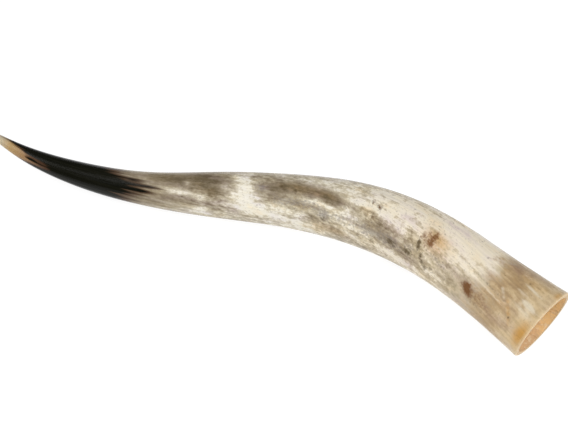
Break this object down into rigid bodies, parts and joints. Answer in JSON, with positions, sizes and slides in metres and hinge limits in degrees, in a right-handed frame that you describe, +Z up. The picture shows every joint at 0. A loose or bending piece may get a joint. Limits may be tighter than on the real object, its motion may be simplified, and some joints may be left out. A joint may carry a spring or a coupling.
{
  "type": "bull horn",
  "caption": "Polished bull horn lying on its side, slender and gently S-curved, solid at the dark tip and hollow from its sawn-off mouth.",
  "frame": {"origin": "middle of the footprint, on the surface that the horn lies on", "axes": "+X along the horn from its tip to its sawn mouth, +Y towards the outside of its bow, +Z up"},
  "size_m": [0.5776, 0.1152, 0.069],
  "materials": {
    "polished_horn": "polished natural horn, satin"
  },
  "bodies": {
    "root": {"horn": "polished_horn"}
  },
  "joints": []
}
